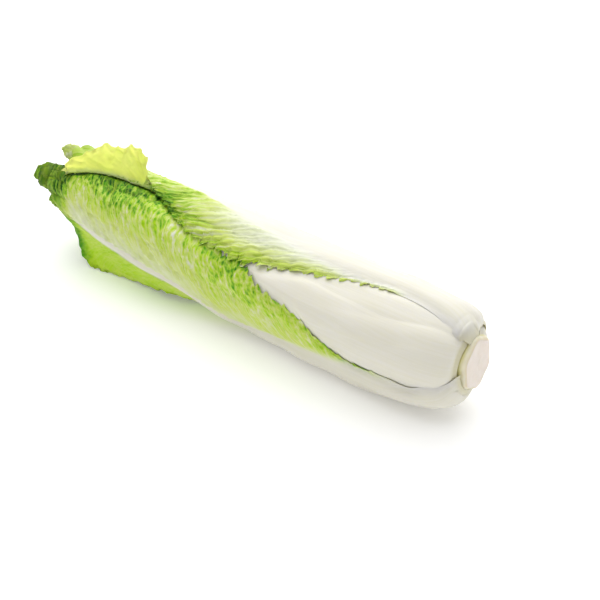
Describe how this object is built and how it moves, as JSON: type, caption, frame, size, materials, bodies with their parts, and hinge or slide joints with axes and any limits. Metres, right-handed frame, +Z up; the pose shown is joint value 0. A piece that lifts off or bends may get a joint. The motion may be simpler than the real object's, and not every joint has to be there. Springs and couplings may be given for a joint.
{
  "type": "napa cabbage",
  "caption": "Long slender napa cabbage head on its side: a cut stem core, thick white ribs wrapped in overlapping green leaf blades, and a curled leaf margin at its top end.",
  "frame": {"origin": "centre of the bounding box, on the surface that the head lies on", "axes": "+X towards the cut stem and -X towards the leaf tips, +Y towards the back, +Z up"},
  "size_m": [0.4748, 0.0874, 0.1184],
  "materials": {
    "stem_core": "pale cut stem, moist and fibrous",
    "heart": "pale yellow folded young leaves",
    "inner_leaf": "pale leaf with a satin waxy surface",
    "outer_leaf": "white rib running into a crinkled green blade, satin"
  },
  "bodies": {
    "root": {"stem_core": "stem_core", "heart_bud": "heart", "inner_leaf_1": "inner_leaf", "inner_leaf_2": "inner_leaf", "inner_leaf_3": "inner_leaf", "inner_leaf_4": "inner_leaf", "inner_leaf_5": "inner_leaf", "inner_leaf_6": "inner_leaf", "inner_leaf_7": "inner_leaf", "inner_leaf_8": "inner_leaf", "inner_leaf_9": "inner_leaf", "crest_leaf": "outer_leaf", "underside_leaf": "outer_leaf", "front_leaf": "outer_leaf", "rear_leaf": "outer_leaf", "lower_leaf": "outer_leaf", "upper_leaf": "outer_leaf"}
  },
  "joints": []
}
